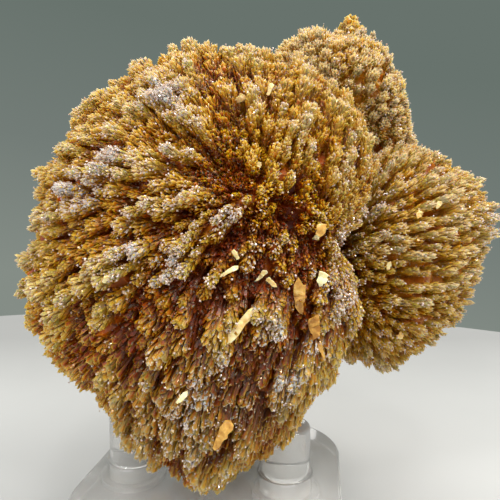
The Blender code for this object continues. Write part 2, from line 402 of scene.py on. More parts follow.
def lobe_normal(lobe, way):
    """Outward direction of the lobe's surface, from two short steps along it."""
    step = 0.02
    side = way.orthogonal().normalized() * step
    here = lobe_point(lobe, way)
    first = lobe_point(lobe, (way + side).normalized()) - here
    second = lobe_point(lobe, (way + way.cross(side)).normalized()) - here
    return first.cross(second).normalized()


def from_growth_line(lobe, tip):
    """Vector to a tip from the nearest point of its lobe's growth line."""
    start, end = lobe["growth_line"]
    along = end - start
    share = min(1.0, max(0.0, (tip - start).dot(along) / along.length_squared))
    return tip - start - along * share


def backness(way):
    """0 on the front half, growing to 1 where the crystals are laths."""
    return min(1.0, max(0.0, 2.0 * way.y))


def growth_direction(lobe, tip, normal, flatness):
    """Away from the growth line, and flattened onto the surface at the back."""
    growth = from_growth_line(lobe, tip).normalized()
    growth -= normal * growth.dot(normal) * LATH_FLATNESS * flatness
    dive = LEAST_DIVE + (LATH_DIVE - LEAST_DIVE) * flatness
    growth += normal * max(0.0, dive - growth.dot(normal))
    return growth.normalized()


def ease(value, low, high):
    """0 at low, 1 at high, smooth between."""
    share = min(1.0, max(0.0, (value - low) / (high - low)))
    return share * share * (3 - 2 * share)


def streak(tip, growth, normal):
    """Smooth noise drawn out away from the growth line, so that neighbours in line rise together."""
    along = (growth - normal * growth.dot(normal)).normalized()
    steps = [noise.noise((tip + along * step) / STREAK_WIDTH) for step in STREAK_STEPS]
    return sum(steps) / len(steps)


def relief(lobe, tip, growth, normal):
    """Height of the crystals' ends over the lobe's smooth surface: ridges away from the growth line."""
    ridge = math.tanh(streak(tip, growth, normal) * STREAK_SHARPNESS)
    near = 1 - ease(from_growth_line(lobe, tip).length, *STREAK_REACH)
    height = (ridge * STREAK_HEIGHT - STREAK_FALL) * (1 + STREAK_GAIN * near)
    swell = noise.noise(tip / SWELL_WIDTH) * SWELL_HEIGHT
    return (height + swell + noise.noise(tip / TUFT_SIZE) * TUFT_HEIGHT) * lobe["relief"]


def barite_material():
    """Translucent barite: red-brown in the gaps, partly painted shade, amber on the slopes, straw and
    frost on the crests, and painted glints on a few facets.
    """
    material, start, shader = begin_material("amber barite")
    place = start.node("ShaderNodeTexCoord", output=3)
    pale, tone, frost, smoke = (
        start.node("ShaderNodeAttribute", {"attribute_name": mark}, output=2) for mark in MARKS)
    cloud = start.node("ShaderNodeTexNoise", {}, {"Vector": place, "Scale": CLOUD_SCALE, "Detail": 3.0})
    grain = start.node("ShaderNodeTexNoise", {}, {"Vector": place, "Scale": GRAIN_SCALE, "Detail": 3.0})
    facets = start.node("ShaderNodeTexVoronoi", {}, {"Vector": place, "Scale": FACET_SCALE}, output=1)
    whiter = start.node("ShaderNodeSeparateColor", {}, {"Color": facets}, output=0)
    glint = start.node("ShaderNodeSeparateColor", {}, {"Color": facets}, output=1)
    ripeness = (pale + (cloud - 0.5) * CLOUD_SHIFT + (grain - 0.5) * GRAIN_SHIFT
                + (whiter - 0.5) * FACET_SHIFT + (tone - 0.5) * TONE_SHIFT).clamped()
    amber = start.node("ShaderNodeValToRGB", {"stops": BARITE_COLOURS}, {"Fac": ripeness})
    frosting = frost * (pale * CREST_FROSTING + GAP_FROSTING)
    dusted = ((frosting + pale * CREST_DUST + whiter - DUST_START) * DUST_EDGE).clamped()
    # Glint facets: partly real polished faces that reflect, partly painted glints, since their
    # near-white colour stays bright under any light
    mirrored = ((glint + frost * MIRROR_FROST - MIRROR_START) * MIRROR_EDGE).clamped()
    # Painted shade: the shade mark mixes the dark olive-brown into the amber
    crusted = (dusted * DUST_COVER).mix(smoke.mix(amber, PAINTED_SHADE_COLOUR), FROST_COLOUR)
    feed(shader["Base Color"], mirrored.mix(crusted, PAINTED_GLINT_COLOUR))
    feed(shader["Metallic"], mirrored * MIRROR_METAL)
    feed(shader["Roughness"],
         (CRYSTAL_ROUGHNESS + grain * GRAIN_ROUGHNESS - mirrored * MIRROR_POLISH).clamped())
    tilt = start.node("ShaderNodeVectorMath", {"operation": "SUBTRACT"},
                      {0: facets, 1: (0.5, 0.5, 0.5)})
    turn = start.node("ShaderNodeVectorMath", {"operation": "SCALE"},
                      {0: tilt, "Scale": mirrored * MIRROR_TURN + FACET_TURN})
    turned = start.node("ShaderNodeVectorMath", {"operation": "ADD"}, {
        0: turn, 1: start.node("ShaderNodeNewGeometry", output=1)})
    feed(shader["Normal"], start.node("ShaderNodeBump", {}, {
        "Height": grain, "Strength": 0.25, "Distance": 0.1 * MM,
        "Normal": start.node("ShaderNodeVectorMath", {"operation": "NORMALIZE"}, {0: turned})}))
    shader["IOR"].default_value = 1.64
    shader["Specular IOR Level"].default_value = 0.12
    shader["Subsurface Weight"].default_value = 0.8
    shader["Subsurface Radius"].default_value = (1.0, 0.6, 0.3)
    shader["Subsurface Scale"].default_value = 3.0 * MM
    shader["Transmission Weight"].default_value = 0.25
    return material


def calming(behind):
    """0 on the front, growing to 1 early on the back half, where the relief is lower."""
    return min(1.0, CALM_RATE * behind)


def build_heart(material):
    """The three lobes' dense bodies in one mesh."""
    bm = bmesh.new()
    marks = {mark: bm.verts.layers.float.new(mark) for mark in MARKS}
    for lobe in LOBES.values():
        ball = bmesh.ops.create_icosphere(bm, subdivisions=HEART_SUBDIVISIONS, radius=1.0)
        for vert in ball["verts"]:
            way = vert.co.normalized()
            tip = lobe_point(lobe, way)
            normal = lobe_normal(lobe, way)
            behind = backness(way)
            growth = growth_direction(lobe, tip, normal, behind)
            rise = relief(lobe, tip, growth, normal)
            lump = noise.noise(tip / HEART_LUMP_SIZE) * HEART_LUMP
            rise *= 1.0 - BACK_CALM * calming(behind)
            depth = HEART_DEPTH + HEART_BACK_DEPTH * calming(behind)
            vert.co = (tip + normal * (rise + lump - depth)) * MM
            # Partly painted shade: the heart is kept dark, lighter where it rises towards the crystals'
            # ends
            vert[marks["paleness"]] = (HEART_PALENESS + HEART_BACK_PALENESS * behind
                                       + lobe["paleness"] + rise * HEART_FADE)
            vert[marks["tone"]] = 0.5
            # Painted shade on the heart in the side lobes and at the back
            vert[marks["smoke"]] = max(lobe["smoke"], HEART_BACK_SHADE * calming(behind))
    return place_mesh("cluster_heart", bm, material, smooth=False)


amber_barite = barite_material()
heart = build_heart(amber_barite)
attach(heart, "root")
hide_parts("barite_cluster")

# Crystal sprays: blunt bundles of fine barite blades that grew away from a line inside each lobe.
# Amber at the root, straw at the tips, and darker deep among the blades, partly their own colour
# and partly painted shade. Narrow ridges grow near the line, broad tongues below it, long fibres on
# the right lobe, smooth prisms on the back lobe's cone, and laths along the back.

SURFACE_POINTS = 26000
FRONT_SPACING = 2.15
BACK_SPACING = 3.4
RIDGE_CROWDING = 0.2
TONGUE_LOOSENESS = 0.15
LOBE_OVERLAP = 1.0
TIP_JITTER = 0.5
UPRIGHT_RISE = 3.0
RIDGE_REACH = (12.5, 22.0)
TONGUE_HEIGHTS = (52.0, 34.0)
GOLDEN_TURN = math.pi * (3.0 - math.sqrt(5.0))
GOLDEN_SHARE = (math.sqrt(5.0) - 1.0) / 2.0
SEED = 21
PEAK_TIP = Vector((29.8, 19.0, 105.4))
PEAK_GROWTH = Vector((0.08, 0.0, 1.0))
PEAK_WIDTH = 7.6
PEAK_HEIGHT = 7.5
PEAK_SPRAYS = 30
PEAK_SPREAD = 0.5
PEAK_PALENESS = -0.3

# Sizes of a spray and its blades for each habit of growth
HABITS = {
    "fan": {"width": 2.6, "height": 2.1, "length": 7.0, "cap": 22, "sleeve": 40, "cap_depth": 1.0,
            "sleeve_depth": 4.0, "splay": 0.45, "blade_width": 0.6, "blade_length": 2.8, "jumble": 0.1},
    "back": {"width": 5.4, "height": 2.6, "length": 12.0, "cap": 10, "sleeve": 16, "cap_depth": 3.0,
             "sleeve_depth": 8.0, "splay": 0.3, "blade_width": 1.7, "blade_length": 5.5, "jumble": 0.14},
    "ridge": {"width": 1.6, "height": 2.4, "length": 7.0, "cap": 18, "sleeve": 40, "cap_depth": 1.0,
              "sleeve_depth": 4.0, "splay": 0.35, "blade_width": 0.52, "blade_length": 1.5,
              "jumble": 0.24},
    "tongue": {"width": 3.3, "height": 2.2, "length": 8.0, "cap": 14, "sleeve": 28, "cap_depth": 2.4,
               "sleeve_depth": 5.0, "splay": 0.15, "blade_width": 0.95, "blade_length": 5.2,
               "jumble": 0.05},
    "peak": {"width": 1.7, "height": 1.7, "length": 6.0, "cap": 8, "sleeve": 10, "cap_depth": 0.8,
             "sleeve_depth": 3.0, "splay": 0.1, "blade_width": 1.5, "blade_length": 4.6, "jumble": 0.04},
    "fibre": {"width": 1.9, "height": 1.6, "length": 8.0, "cap": 16, "sleeve": 36, "cap_depth": 1.4,
              "sleeve_depth": 4.8, "splay": 0.25, "blade_width": 0.55, "blade_length": 3.4,
              "jumble": 0.08},
}
SHARP_SHOULDER = 0.2
BLUNT_SHOULDER = 0.09
SPRAY_SWELL = (0.65, 1.4)
CAP_ROUNDNESS = 0.96
CAP_SHOULDER = 0.6
SLEEVE_START = math.radians(-40.0)
SLEEVE_SWEEP = math.radians(260.0)
SLEEVE_TAPER = 0.3
TURN_JITTER = 0.4
END_JITTER = 0.35
SIDE_JITTER = 0.12
OUTWARD_SPLAY = 0.7
WIDTH_RANGE = (0.5, 1.5)
THICKNESS_RANGE = (0.45, 0.7)
LENGTH_RANGE = (0.75, 1.25)
SHAFT_FULLNESS = 1.5
SHAFT_SINK = 0.2


def inside_lobe(lobe, point, inset):
    """Whether a point lies deeper in the lobe than inset."""
    local = Matrix.Rotation(lobe["lean"], 3, "X") @ (point - lobe["centre"])
    radius, depth, fullness = lobe_size(lobe, *local, inset)
    across = math.hypot(local.x, local.z) / radius
    return across**fullness + abs(local.y / depth)**fullness < 1.0


def scattered_sprays(rng):
    """One entry for each spray: where it ends, how it grows and how much of each habit it has."""
    sprays = []
    for name, lobe in LOBES.items():
        others = [LOBES[other] for other in LOBES if other != name]
        taken = np.empty((SURFACE_POINTS, 3))
        count = 0
        for index in rng.permutation(SURFACE_POINTS):
            y = 1.0 - 2.0 * (index + 0.5) / SURFACE_POINTS
            across = math.sqrt(1.0 - y * y)
            turn = index * GOLDEN_TURN
            way = Vector((across * math.cos(turn), y, across * math.sin(turn)))
            tip = lobe_point(lobe, way)
            behind = backness(way)
            ridge = (name == "main") * (1 - ease(from_growth_line(lobe, tip).length, *RIDGE_REACH))
            low = ease(-tip.z, -TONGUE_HEIGHTS[0], -TONGUE_HEIGHTS[1])
            tongue = (name == "main") * (1 - ridge) * low
            spacing = FRONT_SPACING * (1 - RIDGE_CROWDING * ridge + TONGUE_LOOSENESS * tongue)
            spacing += (BACK_SPACING - spacing) * behind
            away = taken[:count] - np.array(tip)
            if count and (away * away).sum(axis=1).min() < spacing * spacing:
                continue
            if any(inside_lobe(other, tip, LOBE_OVERLAP) for other in others):
                continue
            taken[count] = tip
            count += 1
            normal = lobe_normal(lobe, way)
            growth = growth_direction(lobe, tip, normal, behind)
            rise = relief(lobe, tip, growth, normal) * (1.0 - BACK_CALM * calming(behind))
            rise += rng.uniform(-TIP_JITTER, TIP_JITTER)
            way_up = (growth + normal * UPRIGHT_RISE) / (1.0 + UPRIGHT_RISE)
            sprays.append({
                "lobe": name, "rest": tip, "tip": tip + way_up * rise,
                "growth": growth, "normal": normal, "tone": rng.random(), "paleness": lobe["paleness"],
                "habit": {"back": behind, "ridge": ridge,
                          "tongue": tongue * (1 - behind),
                          "fibre": (name == "right") * (1 - behind)}})
    return sprays


def peak_sprays(rng):
    """Sprays round the cone on top of the back lobe, steep at its tip and spreading at its foot."""
    sprays = []
    growth = PEAK_GROWTH.normalized()
    for index in range(PEAK_SPRAYS):
        share = index / PEAK_SPRAYS
        outward = Matrix.Rotation(index * GOLDEN_TURN, 3, growth) @ growth.orthogonal().normalized()
        tip = PEAK_TIP - growth * PEAK_HEIGHT * share + outward * PEAK_WIDTH / 2 * math.sqrt(share)
        sprays.append({
            "lobe": "back", "rest": tip, "tip": tip,
            "growth": (growth + outward * PEAK_SPREAD * share).normalized(),
            "normal": outward, "tone": rng.random(), "paleness": PEAK_PALENESS,
            "habit": {"back": 0.0, "tongue": 0.0, "peak": 1.0}})
    return sprays


def seed_crystal(shoulder):
    """Unit crystal as corner places and triangles: root at z = -1, wide shoulder, point at z = 0."""
    bm = bmesh.new()
    body = 1.0 - shoulder
    bmesh.ops.create_cone(bm, cap_ends=True, segments=4, radius1=0.0, radius2=0.5,
                          depth=body, matrix=Matrix.Translation((0, 0, -1.0 + body / 2)))
    top = max(bm.faces, key=lambda face: face.calc_center_median().z)
    point = bmesh.ops.poke(bm, faces=[top])["verts"][0]
    point.co.z = 0.0
    bmesh.ops.remove_doubles(bm, verts=bm.verts, dist=SAME_POINT)
    bmesh.ops.triangulate(bm, faces=bm.faces)
    bm.verts.index_update()
    corners = np.array([vert.co for vert in bm.verts])
    triangles = np.array([[vert.index for vert in face.verts] for face in bm.faces])
    bm.free()
    return corners, triangles


def unit(vectors):
    """Rows of an array brought to length 1."""
    return vectors / np.linalg.norm(vectors, axis=-1, keepdims=True)


def spray_blades(spray, rng):
    """Axes and end points of all the blades of one spray: a blunt cap in front of a ragged sleeve."""
    habit = dict(spray["habit"], fan=1.0 - max(spray["habit"].values()))
    total = sum(habit.values())

    def size(name):
        return sum(habit[key] * HABITS[key][name] for key in habit) / total

    growth = np.array(spray["growth"])
    across = np.array(spray["growth"].cross(spray["normal"]).normalized())
    outer = np.cross(across, growth)
    swell = rng.uniform(*SPRAY_SWELL)
    half_width, half_height = size("width") / 2 * swell, size("height") / 2 * swell
    cap, sleeve = round(size("cap")), round(size("sleeve"))
    order = np.arange(cap)
    cap_reach = np.sqrt((order + 0.5) / cap)
    cap_turn = order * GOLDEN_TURN
    cap_back = size("cap_depth") * (1 - np.sqrt(1 - CAP_ROUNDNESS * cap_reach**2))
    order = np.arange(sleeve)
    sleeve_share = (order + 0.5) / sleeve
    sleeve_turn = SLEEVE_START + SLEEVE_SWEEP * (order * GOLDEN_SHARE % 1.0)
    sleeve_reach = 1.0 - SLEEVE_TAPER * sleeve_share
    sleeve_back = size("cap_depth") * CAP_SHOULDER + size("sleeve_depth") * sleeve_share
    reach = np.concatenate((cap_reach, sleeve_reach))
    count = cap + sleeve
    turn = np.concatenate((cap_turn, sleeve_turn)) + rng.uniform(0, TURN_JITTER)
    back = np.concatenate((cap_back, sleeve_back)) + rng.uniform(-END_JITTER, END_JITTER, count)
    side = np.cos(turn) * reach + rng.uniform(-SIDE_JITTER, SIDE_JITTER, count)
    rise = np.sin(turn) * reach + rng.uniform(-SIDE_JITTER, SIDE_JITTER, count)
    splay = size("splay")
    lean = unit(growth + across * (side * splay)[:, None]
                + outer * (rise * splay * OUTWARD_SPLAY)[:, None]
                + rng.uniform(-1, 1, (count, 3)) * size("jumble"))
    ends = (np.array(spray["tip"]) + across * (side * half_width)[:, None]
            + outer * (rise * half_height)[:, None] - growth * back[:, None])
    flat = -across * np.sin(turn)[:, None] + outer * np.cos(turn)[:, None]
    flat = unit(flat - lean * (flat * lean).sum(axis=1)[:, None])
    wide = size("blade_width") * rng.uniform(*WIDTH_RANGE, count)
    thick = wide * rng.uniform(*THICKNESS_RANGE, count)
    long = size("blade_length") * rng.uniform(*LENGTH_RANGE, count)
    axes = np.stack((flat * wide[:, None], np.cross(lean, flat) * thick[:, None],
                     lean * long[:, None]), axis=1)
    shaft = np.array([-across * half_width * SHAFT_FULLNESS, outer * half_height * SHAFT_FULLNESS,
                      growth * size("length")])
    shaft_end = np.array(spray["tip"]) - growth * size("cap_depth") * CAP_SHOULDER - outer * SHAFT_SINK
    return np.concatenate((shaft[None], axes)), np.concatenate((shaft_end[None], ends))


def patch_strength(places, patches):
    """How much of each place lies in a list of round patches (x, z, radius) on the front."""
    strength = np.zeros(len(places))
    for x, z, radius in patches:
        away = (places[:, 0] - x)**2 + (places[:, 2] - z)**2
        strength += np.exp(-away / radius**2)
    return np.clip(strength, 0.0, 1.0)


FROST_PATCHES = (
    (-19.6, 64.4, 3.6), (-7.8, 81.6, 3.0), (-5.4, 54.1, 2.4), (6.9, 51.0, 3.0),
    (18.2, 50.8, 2.6), (10.3, 82.0, 2.4), (23.8, 56.7, 2.4), (23.2, 46.7, 2.4),
    (-16.1, 71.5, 2.4), (4.0, 61.3, 2.4), (0.9, 66.5, 2.0), (-7.6, 50.4, 2.0),
    (-11.4, 56.2, 2.0), (-23.9, 65.2, 3.0), (9.4, 57.0, 2.6), (10.7, 43.9, 2.0),
    (1.7, 33.0, 2.2), (-1.2, 35.3, 1.8), (4.8, 29.2, 2.0), (12.5, 34.6, 2.2), (-3.8, 30.4, 1.6),
    (7.3, 33.4, 1.8), (-7.7, 41.6, 2.0), (3.2, 38.5, 1.8), (8.8, 41.0, 2.0), (14.8, 40.9, 2.2),
    (18.8, 38.7, 2.0), (-12.2, 48.8, 1.8), (22.0, 45.3, 2.4),
)
FROST_FIELDS = (
    (8.0, 54.0, 16.0), (-14.0, 62.0, 12.0), (22.0, 44.0, 10.0), (-4.0, 78.0, 8.0), (0.0, 34.0, 7.0),
    (10.0, 37.0, 6.0), (-2.0, 24.0, 12.0), (31.0, 61.0, 5.0), (34.0, 38.0, 6.0), (54.0, 60.0, 6.0),
)
# Painted light: round fields (x, z, radius) on the upper front and the right lobe where the crystals are
# made paler, as if lit from above and the right
PAINTED_LIGHT_FIELDS = (
    (17.0, 77.0, 12.0), (-14.0, 77.0, 10.0), (-30.0, 56.0, 8.0), (46.0, 68.0, 8.0), (53.0, 55.0, 8.0),
)
# Painted shade at the foot of the main lobe, which the light from above reaches less
LOW_SHADE_FIELDS = ((-8.0, 28.0, 12.0), (8.0, 31.0, 12.0))
# Painted shade: round fields in the middle and below the growth line where the crystals are made darker,
# away from the light from above
PAINTED_SHADE_FIELDS = ((8.0, 55.0, 13.0), (4.0, 38.0, 9.0), (20.0, 46.0, 9.0), (-8.0, 44.0, 9.0))
PATCH_FROST = 0.8
FIELD_FROST = 0.42
FROST_TURN = 0.1
FROST_JITTER = 0.1
FIELD_SHADE = 0.5
PAINTED_LIGHT_STRENGTH = 0.2
PAINTED_SHADE_STRENGTH = 0.26
# Blades darken with depth under the lobe's surface and towards their roots: partly the crystals' own
# colour, partly painted shade in the gaps
DARK_DEPTH = 3.1
DARK_RISE = 0.2
DARK_LENGTH = 3.6
ROOT_PALENESS = 0.75
EDGE_PALENESS = 0.06
TONGUE_EDGE_PALENESS = 0.2
SPRAY_TONE = 0.6
BLADE_TONE = 0.4
POINT_JITTER = 0.3


def joined_mesh(name, places, triangles, marks, material):
    """One flat-faced mesh from arrays, with a float attribute for each mark."""
    mesh = bpy.data.meshes.new(name)
    mesh.from_pydata(places * MM, [], triangles)
    for mark, values in marks.items():
        mesh.attributes.new(mark, "FLOAT", "POINT").data.foreach_set("value", values)
    mesh.materials.append(material)
    obj = bpy.data.objects.new(name, mesh)
    bpy.context.scene.collection.objects.link(obj)
    return obj


def build_sprays(name, sprays, crystal, material, rng):
    """All the blades of some sprays in one mesh, marked with paleness (partly painted light and shade),
    tone, frost and a mark of painted shade.
    """
    corners, triangles = crystal
    made = [spray_blades(spray, rng) for spray in sprays]
    homes = np.repeat(np.arange(len(sprays)), [len(ends) for _, ends in made])
    axes = np.concatenate([its_axes for its_axes, _ in made])
    ends = np.concatenate([its_ends for _, its_ends in made])
    rests, tips, normals, growths, shift, tone = (
        np.array([spray[key] for spray in sprays])[homes]
        for key in ("rest", "tip", "normal", "growth", "paleness", "tone"))
    tongues = np.array([spray["habit"]["tongue"] for spray in sprays])[homes]
    places = np.einsum("vk,nkj->nvj", corners, axes) + ends[:, None]
    point = corners[:, 2].argmax()
    shove = rng.uniform(-POINT_JITTER, POINT_JITTER, (len(ends), 2))
    places[:, point] += np.einsum("nk,nkj->nj", shove, axes[:, :2])
    # Painted shade, partly the crystals' own colour: paleness falls with depth under the surface and
    # towards the root
    depth = ((rests[:, None] - places) * normals[:, None]).sum(axis=2)
    height = 1.0 - np.clip((depth + DARK_RISE) / DARK_DEPTH, 0.0, 1.0)
    behind = ((tips[:, None] - places) * growths[:, None]).sum(axis=2)
    height *= 1.0 - np.clip(behind / DARK_LENGTH, 0.0, 1.0) * (1.0 - ROOT_PALENESS)
    edge = np.where(corners[:, 2] == 0.0, 1.0, 4.0 * np.abs(corners[:, 0]) - 1.0)
    paleness = height * (0.5 + 0.5 * (1.0 + corners[:, 2]))
    paleness += edge * (EDGE_PALENESS + TONGUE_EDGE_PALENESS * tongues)[:, None]
    # Painted light: paler crystals in the lit fields
    shift += patch_strength(ends, PAINTED_LIGHT_FIELDS) * PAINTED_LIGHT_STRENGTH
    # Painted shade: darker crystals in the shaded fields
    shift -= patch_strength(ends, PAINTED_SHADE_FIELDS) * PAINTED_SHADE_STRENGTH
    paleness += shift[:, None]
    tone = tone * SPRAY_TONE + rng.random(len(homes)) * BLADE_TONE
    frost = (patch_strength(ends, FROST_PATCHES) * PATCH_FROST
             + patch_strength(ends, FROST_FIELDS) * FIELD_FROST)
    frost = np.clip(frost, 0.0, 1.0) * (normals[:, 1] < FROST_TURN)
    frost += rng.uniform(-FROST_JITTER, FROST_JITTER, len(ends))
    smoke = patch_strength(ends, LOW_SHADE_FIELDS) * FIELD_SHADE
    faces = triangles[None] + (np.arange(len(ends)) * len(corners))[:, None, None]
    marks = {"paleness": paleness.ravel()}
    for mark, values in (("tone", tone), ("frost", frost), ("smoke", smoke)):
        marks[mark] = np.repeat(values, len(corners))
    piece = joined_mesh(name, places.reshape(-1, 3), faces.reshape(-1, 3), marks, material)
    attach(piece, "root")
    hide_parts("barite_cluster")
    return piece


spray_rng = np.random.default_rng(SEED)
groups = {
    "sprays_upper_left": [], "sprays_upper_right": [], "sprays_lower_left": [],
    "sprays_lower_right": [], "sprays_right_lobe": [], "sprays_back_lobe": [], "laths_behind": [],
}
for one in scattered_sprays(spray_rng) + peak_sprays(spray_rng):
    if one["lobe"] != "main":
        groups["sprays_" + one["lobe"] + "_lobe"].append(one)
    elif one["habit"]["back"] > 0.5:
        groups["laths_behind"].append(one)
    else:
        level = "upper" if one["tip"].z > LOBES["main"]["centre"].z else "lower"
        side = "left" if one["tip"].x < LOBES["main"]["centre"].x else "right"
        groups["sprays_" + level + "_" + side].append(one)
sharp_blade = seed_crystal(SHARP_SHOULDER)
blunt_blade = seed_crystal(BLUNT_SHOULDER)
spray_pieces = [build_sprays(name, sprays, blunt_blade if "lower" in name else sharp_blade,
                             amber_barite, spray_rng) for name, sprays in groups.items()]

# Druse: a crust of tiny clear quartz-like grains, sugar fine, that settled on the crests of the
# ridges and thickest in a few whitish patches. Each grain is a small double pyramid.

GRAINS = 12000
GRAIN_SIZE = (0.22, 0.5)
GRAIN_SPREAD = 0.13
GRAIN_SHAPE = np.array((1.0, 0.8, 1.2))
GRAIN_TINT = (*linear(214, 180, 150), 1.0)
GRAIN_WHITE = (*linear(250, 236, 230), 1.0)
CREST_FROST = 0.08


def grain_material():
    """Clear to milky white grains, warm from the barite below, with bright faces."""
    material, start, shader = begin_material("druse")
    tone = start.node("ShaderNodeAttribute", {"attribute_name": "tone"}, output=2)
    feed(shader["Base Color"], tone.mix(GRAIN_TINT, GRAIN_WHITE))
    shader["Roughness"].default_value = 0.12
    shader["IOR"].default_value = 1.6
    shader["Specular IOR Level"].default_value = 0.9
    shader["Transmission Weight"].default_value = 0.25
    return material


def double_pyramid():
    """Eight-faced grain of unit width as corner places and triangles."""
    bm = bmesh.new()
    bmesh.ops.create_cone(bm, cap_ends=False, segments=4, radius1=0.5, radius2=0.0, depth=0.5,
                          matrix=Matrix.Translation((0.0, 0.0, 0.25)))
    bmesh.ops.mirror(bm, geom=bm.verts[:] + bm.edges[:] + bm.faces[:], axis="Z",
                     merge_dist=SAME_POINT)
    bmesh.ops.remove_doubles(bm, verts=bm.verts, dist=SAME_POINT)
    bmesh.ops.recalc_face_normals(bm, faces=bm.faces)
    bm.verts.index_update()
    corners = np.array([vert.co for vert in bm.verts])
    triangles = np.array([[vert.index for vert in face.verts] for face in bm.faces])
    bm.free()
    return corners, triangles


def build_druse(pieces, rng):
    """Grains on the ends of blades, more of them where the frost is stronger."""
    ends = []
    weights = []
    for piece in pieces:
        count = len(piece.data.vertices)
        places = np.empty(count * 3)
        piece.data.vertices.foreach_get("co", places)
        values = {}
        for mark in ("paleness", "frost"):
            values[mark] = np.empty(count)
            piece.data.attributes[mark].data.foreach_get("value", values[mark])
        ends.append(places.reshape(-1, 3) / MM)
        weights.append(np.clip(values["paleness"], 0.0, 1.0)**2
                       * (CREST_FROST + np.clip(values["frost"], 0.0, 1.0)))
    ends, weights = np.concatenate(ends), np.concatenate(weights)
    chosen = rng.choice(len(ends), GRAINS, replace=False, p=weights / weights.sum())
    corners, triangles = double_pyramid()
    axes = unit(rng.normal(size=(GRAINS, 2, 3)))
    third = unit(np.cross(axes[:, 0], axes[:, 1]))
    stance = np.stack((axes[:, 0], np.cross(third, axes[:, 0]), third), axis=1)
    stance *= rng.uniform(*GRAIN_SIZE, (GRAINS, 1, 1)) * GRAIN_SHAPE[:, None]
    spots = ends[chosen] + rng.normal(size=(GRAINS, 3)) * GRAIN_SPREAD
    places = np.einsum("vk,nkj->nvj", corners, stance) + spots[:, None]
    faces = triangles[None] + (np.arange(GRAINS) * len(corners))[:, None, None]
    marks = {"tone": np.repeat(rng.random(GRAINS), len(corners))}
    return joined_mesh("druse", places.reshape(-1, 3), faces.reshape(-1, 3), marks, grain_material())


druse = build_druse([piece for piece in spray_pieces if piece.name != "laths_behind"], spray_rng)
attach(druse, "root")
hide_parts("barite_cluster")

# Flakes: thin golden and pale yellow plates on the crests, broken off and grown in again. Each is
# a bevelled sheet with a ragged outline, set where a line of sight meets the crystals.

FLAKE_THICKNESS = 0.3
FLAKE_STATIONS = 9
FLAKE_RAGGEDNESS = 0.25
FLAKE_LIFT = 0.2
FLAKE_TILT = 0.3
FLAKE_WARP = 0.5
FLAKE_MOTTLE_SCALE = 900.0
FLAKE_MOTTLING = 1.4
FLAKE_COLOURS = (
    (0.0, linear(166, 112, 34)), (0.4, linear(222, 174, 84)), (1.0, linear(254, 244, 190)),
)
PROBE_START = -60.0
FLAKE_PROBES = ((0.0, 0.0), (-0.3, 0.0), (0.3, 0.0), (0.0, -0.3), (0.0, 0.3))
# Place across and up, width, length, lean to the right of upright, taper, and tone from gold to pale
FLAKES = (
    (14.7, 48.5, 2.5, 6.2, -4, 0.6, 0.25), (17.3, 43.4, 1.8, 4.4, -12, 0.2, 0.1),
    (18.4, 39.6, 1.0, 3.2, -20, 0.6, 0.3), (18.5, 50.9, 1.9, 2.6, 20, 0.5, 1.0),
    (8.8, 52.2, 0.9, 2.6, 45, 0.5, 0.9), (10.2, 51.0, 0.9, 2.0, -50, 0.4, 0.7),
    (5.5, 45.0, 1.6, 7.4, 40, 0.3, 0.7), (2.8, 27.9, 1.9, 5.2, 28, 0.5, 0.25),
    (-3.0, 34.7, 1.1, 2.2, 40, 0.5, 0.8), (18.4, 58.9, 1.8, 2.3, 10, 0.3, 0.35),
    (18.0, 57.4, 1.1, 1.2, 70, 0.4, 0.9), (3.8, 53.0, 0.9, 3.8, 60, 0.5, 0.9),
    (4.9, 55.4, 0.9, 1.7, -20, 0.4, 0.9), (5.3, 80.5, 1.5, 2.2, 60, 0.4, 0.6),
    (10.3, 82.4, 1.2, 2.4, 20, 0.6, 0.7), (8.3, 69.2, 1.0, 1.2, 0, 0.3, 0.7),
    (37.5, 61.1, 1.5, 1.8, 60, 0.4, 0.6), (41.4, 62.9, 1.0, 1.6, 30, 0.4, 0.8),
    (32.0, 51.8, 1.0, 1.6, 20, 0.5, 0.6), (35.5, 38.1, 1.4, 2.0, 50, 0.4, 0.5),
    (-14.0, 52.0, 0.9, 1.4, 35, 0.4, 0.8),
)


def flake_material():
    """Golden to pale yellow, waxy, with light ragged edges and a mottled face."""
    material, start, shader = begin_material("golden flake")
    place = start.node("ShaderNodeTexCoord", output=3)
    tone = start.node("ShaderNodeAttribute", {"attribute_name": "tone"}, output=2)
    mottle = start.node("ShaderNodeTexNoise", {}, {
        "Vector": place, "Scale": FLAKE_MOTTLE_SCALE, "Detail": 4.0})
    feed(shader["Base Color"], start.node("ShaderNodeValToRGB", {"stops": FLAKE_COLOURS}, {
        "Fac": (tone + (mottle - 0.5) * FLAKE_MOTTLING).clamped()}))
    feed(shader["Roughness"], 0.25 + mottle * 0.3)
    feed(shader["Normal"], start.node("ShaderNodeBump", {}, {
        "Height": mottle, "Strength": 0.6, "Distance": 0.2 * MM}))
    shader["Subsurface Weight"].default_value = 0.4
    shader["Subsurface Radius"].default_value = (1.0, 0.7, 0.3)
    shader["Subsurface Scale"].default_value = 0.6 * MM
    return material


